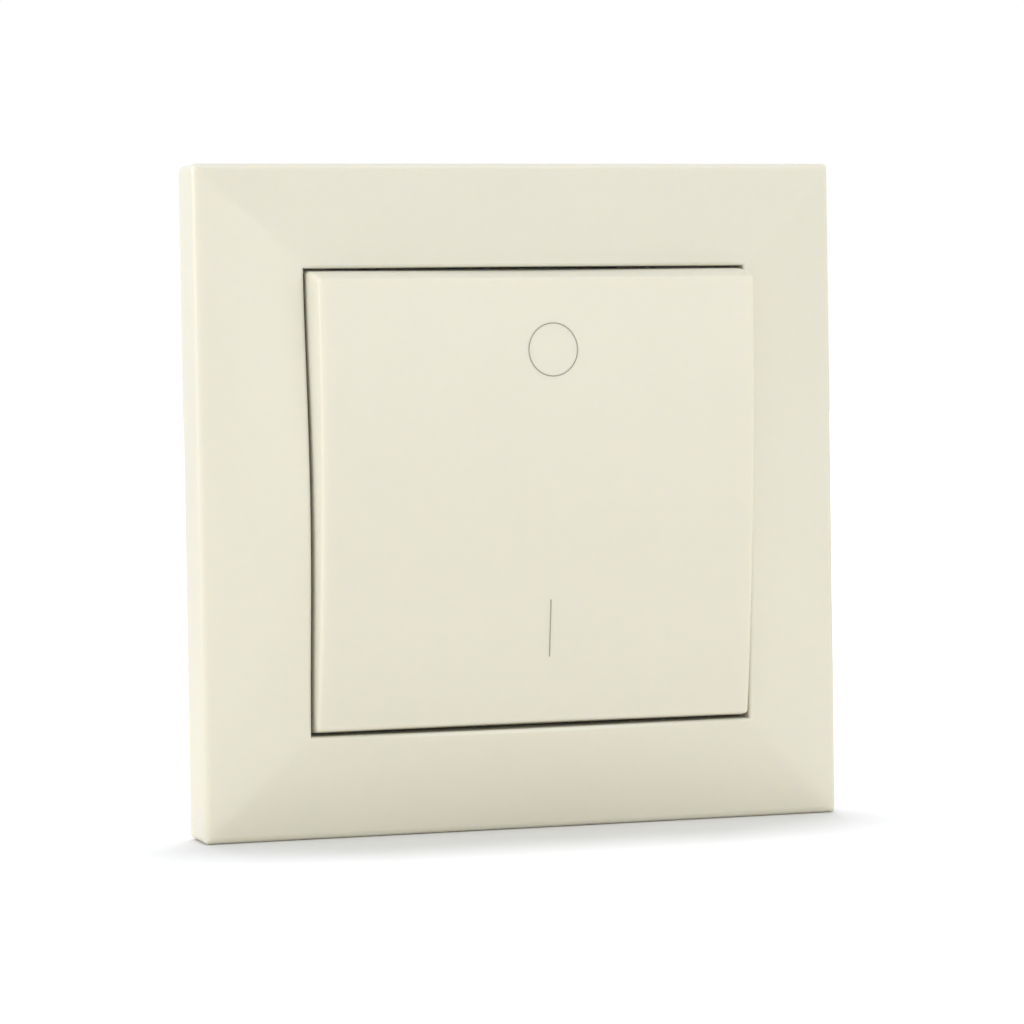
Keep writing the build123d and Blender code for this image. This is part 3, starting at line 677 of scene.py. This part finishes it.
class SWITCH_OT_set_fasteners(bpy.types.Operator):
    """Turn the cover screws and wind the plunger springs"""

    bl_idname = "switch.set_fasteners"
    bl_label = "Set the screws and springs"

    def execute(self, context):
        sizes = context.scene.switch_fasteners
        screws = self.turn_screws(sizes, NODES["cover_screws"].material_slots[0].material)
        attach(screws, "housing")
        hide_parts("cover_screws")
        for side in SIDES:
            self.wind_spring(sizes, side)
        return {"FINISHED"}

    def turn_screws(self, sizes, metal):
        """Four screws with a chamfered head and a cross in it, set out from one grid."""
        shapes = Shapes("screws")
        spacing_x, spacing_z = shapes.sizes(sizes, "screw_spacing_x", "screw_spacing_z")
        seat, head_radius, head_height = shapes.sizes(sizes, "seat", "head_radius", "head_height")
        chamfer, shank_radius, shank_length = shapes.sizes(
            sizes, "head_chamfer", "shank_radius", "shank_length"
        )
        recess_width, recess_length, recess_depth = shapes.sizes(
            sizes, "recess_width", "recess_length", "recess_depth"
        )
        rim_height = head_height - chamfer
        rim = shapes.round_bar(head_radius, rim_height, HEAD_SIDES)
        rim = shapes.raised(rim, rim_height / 2)
        crown = shapes.node(
            "GeometryNodeMeshCone",
            None,
            {
                "Vertices": HEAD_SIDES,
                "Radius Top": head_radius - chamfer,
                "Radius Bottom": head_radius,
                "Depth": chamfer,
            },
        )
        head = shapes.fused(rim, shapes.raised(crown, rim_height))
        bars = [
            shapes.node(
                "GeometryNodeMeshCube", None, {"Size": shapes.vector(x, y, recess_depth * 2)}
            )
            for x, y in ((recess_width, recess_length), (recess_length, recess_width))
        ]
        head = shapes.cut(head, shapes.raised(shapes.fused(*bars), head_height))
        shank = shapes.round_bar(shank_radius, shank_length, SHANK_SIDES)
        shank = shapes.raised(shank, shank_length / -2)
        screw = shapes.joined(head, shank)
        screw = shapes.moved(screw, shapes.vector(0.0, seat * -1, 0.0), FACE_OUT)
        grid = shapes.node(
            "GeometryNodeMeshGrid",
            None,
            {"Size X": spacing_x, "Size Y": spacing_z, "Vertices X": 2, "Vertices Y": 2},
        )
        places = shapes.moved(grid, (0, 0, 0), FACE_OUT)
        screws = shapes.node(
            "GeometryNodeInstanceOnPoints", None, {"Points": places, "Instance": screw}
        )
        return shapes.build("cross_head_screws", screws, metal)

    def wind_spring(self, sizes, side):
        """A round wire whose first and last turns are closed, wound about the plunger's line."""
        shapes = Shapes("coil")
        wire, radius, start, reach, turns = shapes.sizes(
            sizes, "wire", "coil_radius", "coil_start", "coil_length", "coil_turns"
        )
        path = shapes.node("GeometryNodeCurvePrimitiveLine")
        path = shapes.resampled(path, turns * TURN_POINTS)
        turned = shapes.node("GeometryNodeSplineParameter", output="Factor") * turns
        swept = turned * (2 * math.pi)
        past_first = turned - 1
        open_turns = turns - 2
        opened = shapes.maths("DIVIDE", past_first, open_turns, clamped=True)
        last = shapes.maths("MAXIMUM", past_first - open_turns, 0)
        closed = shapes.maths("MINIMUM", turned, 1) + last
        depth = closed * wire + opened * (reach - wire * 2)
        coil = shapes.laid(
            path,
            shapes.vector(
                shapes.maths("COSINE", swept) * radius,
                shapes.maths("SINE", swept) * radius,
                depth + start,
            ),
        )
        back = -Vector(JOINTS[f"plunger_{side}_slide"]["axis"])
        axle = Vector(JOINTS["rocker_tilt"]["pos_m"])
        low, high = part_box(f"plunger_spring_{side}")
        axle.x = (low.x + high.x) / 2
        turn = back.to_track_quat("Z", "X").to_euler()
        spring = shapes.build(
            f"wound_spring_{side}",
            shapes.moved(shapes.wire(coil, wire), tuple(axle), tuple(turn)),
            NODES[f"plunger_spring_{side}"].material_slots[0].material,
        )
        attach(spring, "rocker")
        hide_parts(f"plunger_spring_{side}")
        front_end = axle + back * (sizes.coil_start - sizes.wire / 2)
        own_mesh(spring)


class SWITCH_OT_bend_leaves(bpy.types.Operator):
    """Bend the four leaf springs that give way to the release levers"""

    bl_idname = "switch.bend_leaves"
    bl_label = "Bend the leaf springs"

    def execute(self, context):
        leaves = context.scene.switch_leaves
        for side, x in zip(SIDES, (-leaves.spacing, leaves.spacing)):
            for end, up in zip(ENDS, (1, -1)):
                self.bend_leaf(leaves, side, end, x, up)
        return {"FINISHED"}

    def bend_leaf(self, leaves, side, end, x, up):
        """A strip that follows one folded path, from its long leg to its tip."""
        shapes = Shapes("leaf")
        width, sheet, bend = shapes.sizes(leaves, "width", "sheet", "bend")
        middle = (leaves.outer + leaves.inner) / 2
        corners = (
            (leaves.back, leaves.outer),
            (leaves.front, leaves.outer),
            (leaves.front, middle),
            (leaves.tip, leaves.inner),
        )
        path = shapes.node(
            "GeometryNodeCurvePrimitiveQuadrilateral",
            {"mode": "POINTS"},
            {f"Point {i}": (x, y, up * z) for i, (y, z) in enumerate(corners, 1)},
        )
        path = shapes.node("GeometryNodeSetSplineCyclic", None, {0: path, "Cyclic": False})
        path = shapes.node(
            "GeometryNodeFilletCurve",
            {"mode": "POLY"},
            {0: path, "Count": BEND_POINTS, "Radius": bend, "Limit Radius": True},
        )
        section = shapes.node(
            "GeometryNodeCurvePrimitiveQuadrilateral",
            {"mode": "RECTANGLE"},
            {"Width": width, "Height": sheet},
        )
        name = f"terminal_spring_{end}_{side}"
        metal = NODES[name].material_slots[0].material
        leaf = shapes.build(f"leaf_{end}_{side}", shapes.swept(path, section), metal)
        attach(leaf, "housing")
        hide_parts(name)
        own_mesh(leaf)


class SWITCH_OT_stage(bpy.types.Operator):
    """Set up the floor, the lamps, the world and the camera"""

    bl_idname = "switch.stage"
    bl_label = "Set the stage"

    def execute(self, context):
        stage = context.scene.switch_stage
        floor = self.lay_floor(stage)
        self.light_world(context.scene, stage)
        for name, (place, size, floor_state) in LAMPS.items():
            lamp = self.hang_lamp(f"{name}_lamp", place, size, getattr(stage, f"{name}_power"))
            lit = bpy.data.collections.new(f"{name}_lamp_receivers")
            lit.objects.link(floor)
            lit.collection_objects[0].light_linking.link_state = floor_state
            lamp.light_linking.receiver_collection = lit
        self.aim_camera(context.scene, stage)
        context.scene.view_settings.view_transform = "Standard"
        return {"FINISHED"}

    def lay_floor(self, stage):
        mesh = bpy.data.meshes.new("floor")
        made = bmesh.new()
        bmesh.ops.create_grid(made, x_segments=1, y_segments=1, size=stage.floor_reach)
        bmesh.ops.translate(made, verts=made.verts, vec=(0, 0, FLOOR_HEIGHT))
        made.to_mesh(mesh)
        made.free()
        floor = mesh_object("floor", mesh)
        paint = Paint("pale_floor")
        seen = paint.node("ShaderNodeLightPath", output="Is Camera Ray")
        x, y = paint.along("X"), paint.along("Y")
        far = paint.rise((x * x + y * y) ** 0.5, stage.near_floor, stage.far_floor)
        tone = paint.blend(seen, stage.floor_lit, stage.floor_seen)
        matte = paint.node("ShaderNodeBsdfDiffuse", None, {"Color": tone}, "BSDF")
        lift = paint.node("ShaderNodeEmission", None, {"Color": (1, 1, 1), "Strength": seen * far})
        whole = paint.node("ShaderNodeAddShader", None, {0: matte, 1: lift})
        paint.node("ShaderNodeOutputMaterial", None, {"Surface": whole})
        mesh.materials.append(paint.material)
        return floor

    def light_world(self, scene, stage):
        """Plain light from all round. The camera, gloss and glass see a white room."""
        scene.world = bpy.data.worlds.new("white_room")
        scene.world.use_nodes = True
        room = Nodes(scene.world.node_tree)
        background = room.tree.nodes["Background"]
        seen = room.node("ShaderNodeLightPath", output="Is Camera Ray")
        for ray in ("Is Glossy Ray", "Is Transmission Ray"):
            seen = room.maths("MAXIMUM", seen, room.node("ShaderNodeLightPath", output=ray))
        strength = room.node(
            "ShaderNodeMapRange",
            None,
            {"Value": seen, "To Min": stage.world_level, "To Max": 1.0},
            "Result",
        )
        room.feed(background.inputs["Color"], (1, 1, 1))
        room.feed(background.inputs["Strength"], strength)

    def hang_lamp(self, name, place, size, power):
        lamp = bpy.data.lights.new(name, "AREA")
        lamp.shape = "ELLIPSE"
        lamp.size, lamp.size_y = size
        lamp.energy = power
        made = mesh_object(name, lamp)
        made.location = place
        made.rotation_euler = (-place).to_track_quat("-Z", "Y").to_euler()
        return made

    def aim_camera(self, scene, stage):
        camera = bpy.data.cameras.new("camera")
        camera.lens = stage.lens
        made = mesh_object("camera", camera)
        back = Vector(
            (
                math.sin(stage.azimuth) * math.cos(stage.elevation),
                -math.cos(stage.azimuth) * math.cos(stage.elevation),
                math.sin(stage.elevation),
            )
        )
        across = Vector((math.cos(stage.azimuth), math.sin(stage.azimuth), 0))
        right = Matrix.Rotation(stage.roll, 3, back) @ across
        up = back.cross(right)
        target = Vector((stage.target_x, 0, stage.target_z))
        turn = Matrix((right, up, back)).transposed().to_4x4()
        made.matrix_world = Matrix.Translation(target + stage.distance * back) @ turn
        scene.camera = made


class SWITCH_PT_panel(bpy.types.Panel):
    """The steps that finish the switch, and their sizes and colours"""

    bl_idname = "SWITCH_PT_panel"
    bl_label = "Light switch"
    bl_space_type = "VIEW_3D"
    bl_region_type = "UI"
    bl_category = "Switch"

    def draw(self, context):
        for operator, group in STEPS:
            self.layout.operator(operator.bl_idname)
            settings = getattr(context.scene, group)
            box = self.layout.box()
            for name in settings.__annotations__:
                box.prop(settings, name)


STEPS = (
    (SWITCH_OT_finish_front, "switch_surface"),
    (SWITCH_OT_draw_marks, "switch_marks"),
    (SWITCH_OT_finish_insert, "switch_colours"),
    (SWITCH_OT_set_fasteners, "switch_fasteners"),
    (SWITCH_OT_bend_leaves, "switch_leaves"),
    (SWITCH_OT_stage, "switch_stage"),
)
GROUPS = {
    "switch_colours": SwitchColours,
    "switch_surface": SwitchSurface,
    "switch_marks": SwitchMarks,
    "switch_fasteners": SwitchFasteners,
    "switch_leaves": SwitchLeaves,
    "switch_stage": SwitchStage,
}


def register():
    for name, group in GROUPS.items():
        bpy.utils.register_class(group)
        setattr(bpy.types.Scene, name, PointerProperty(type=group))
    for operator, _ in STEPS:
        bpy.utils.register_class(operator)
    bpy.utils.register_class(SWITCH_PT_panel)


def unregister():
    bpy.utils.unregister_class(SWITCH_PT_panel)
    for operator, _ in STEPS:
        bpy.utils.unregister_class(operator)
    for name, group in GROUPS.items():
        delattr(bpy.types.Scene, name)
        bpy.utils.unregister_class(group)


def main():
    register()
    bpy.ops.switch.finish_front()
    bpy.ops.switch.draw_marks()
    bpy.ops.switch.finish_insert()
    bpy.ops.switch.set_fasteners()
    bpy.ops.switch.bend_leaves()
    bpy.ops.switch.stage()


if __name__ == "__main__":
    main()
